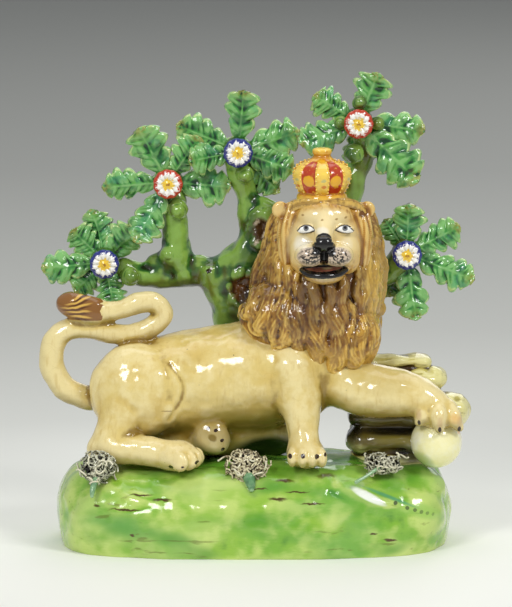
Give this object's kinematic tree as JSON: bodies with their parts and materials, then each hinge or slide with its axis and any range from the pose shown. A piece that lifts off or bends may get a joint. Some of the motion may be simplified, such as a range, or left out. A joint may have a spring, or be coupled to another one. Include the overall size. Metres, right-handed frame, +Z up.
{
  "type": "pottery lion figure",
  "caption": "Glazed earthenware figure of a crowned lion lying with one paw on a ball, on a green mound before a flowering tree.",
  "frame": {"origin": "the middle of the underside, centred on the figure's outline in X and Y", "axes": "+Z up, -Y towards the side that is seen in the picture, where the lion looks, +X towards the ball under its paw"},
  "size_m": [0.1476, 0.0658, 0.1598],
  "materials": {
    "glaze": "glossy coloured lead glaze: buff lion, ochre mane, green mound and leaves"
  },
  "bodies": {
    "root": {"bocage_lion": "glaze"}
  },
  "joints": []
}
